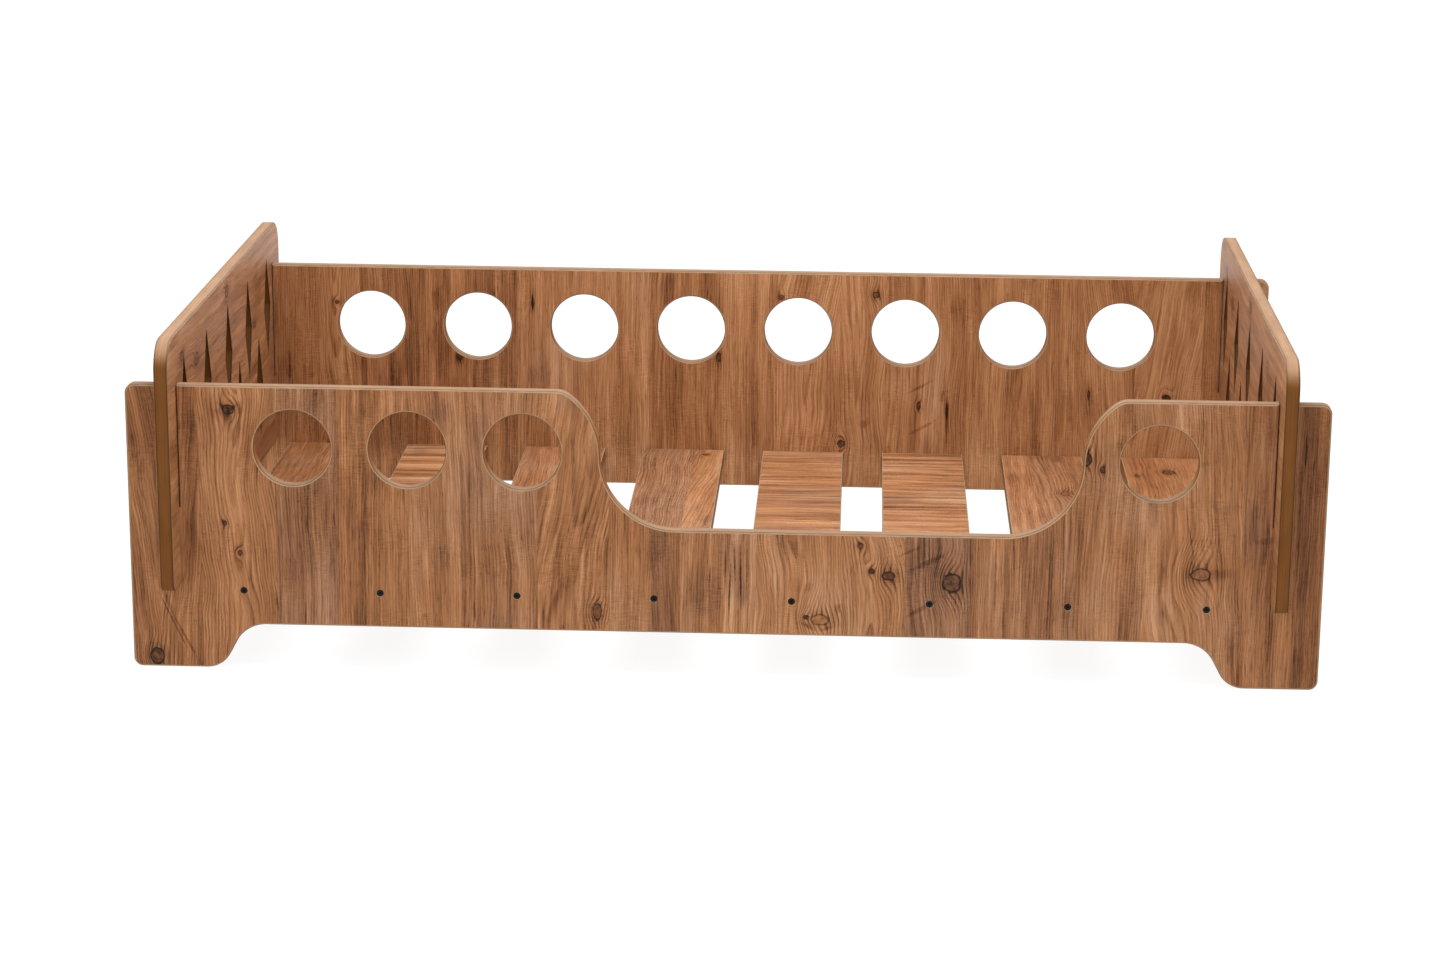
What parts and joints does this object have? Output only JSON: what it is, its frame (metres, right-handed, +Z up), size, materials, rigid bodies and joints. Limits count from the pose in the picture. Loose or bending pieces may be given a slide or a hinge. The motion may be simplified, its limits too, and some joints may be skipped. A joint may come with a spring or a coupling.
{
  "type": "toddler floor bed",
  "caption": "Slot-together low floor bed for a toddler, with a cut-out entry, round peep holes, arched feet, lift-out end panels with diamond cut-outs and a slatted base.",
  "frame": {"origin": "on the floor in the middle of the bed's footprint", "axes": "+X along the bed from the left end to the right end, +Y from the entry side to the back, +Z up"},
  "size_m": [1.544, 0.854, 0.445],
  "materials": {
    "side_board": "satin laminate with an aged pine print, grain upright, routed edges in beech tan",
    "end_board": "satin laminate with an aged pine print, grain along the board, routed edges in beech tan",
    "slat_board": "satin laminate with an aged pine print, plain cut sides",
    "screw": "black oxide"
  },
  "bodies": {
    "bed_frame": {"front_side_panel": "side_board", "back_side_panel": "side_board", "slat_1": "slat_board", "slat_2": "slat_board", "slat_3": "slat_board", "slat_4": "slat_board", "slat_5": "slat_board", "slat_6": "slat_board", "slat_7": "slat_board", "slat_8": "slat_board", "front_screw_1": "screw", "back_screw_1": "screw", "front_screw_2": "screw", "back_screw_2": "screw", "front_screw_3": "screw", "back_screw_3": "screw", "front_screw_4": "screw", "back_screw_4": "screw", "front_screw_5": "screw", "back_screw_5": "screw", "front_screw_6": "screw", "back_screw_6": "screw", "front_screw_7": "screw", "back_screw_7": "screw", "front_screw_8": "screw", "back_screw_8": "screw"},
    "left_end": {"left_end_panel": "end_board"},
    "right_end": {"right_end_panel": "end_board"}
  },
  "joints": [
    {"name": "left_end_lift", "type": "slide", "parent": "bed_frame", "child": "left_end", "axis": [0, 0, 1], "range_m": [0, 0.28]},
    {"name": "right_end_lift", "type": "slide", "parent": "bed_frame", "child": "right_end", "axis": [0, 0, 1], "range_m": [0, 0.28]}
  ]
}
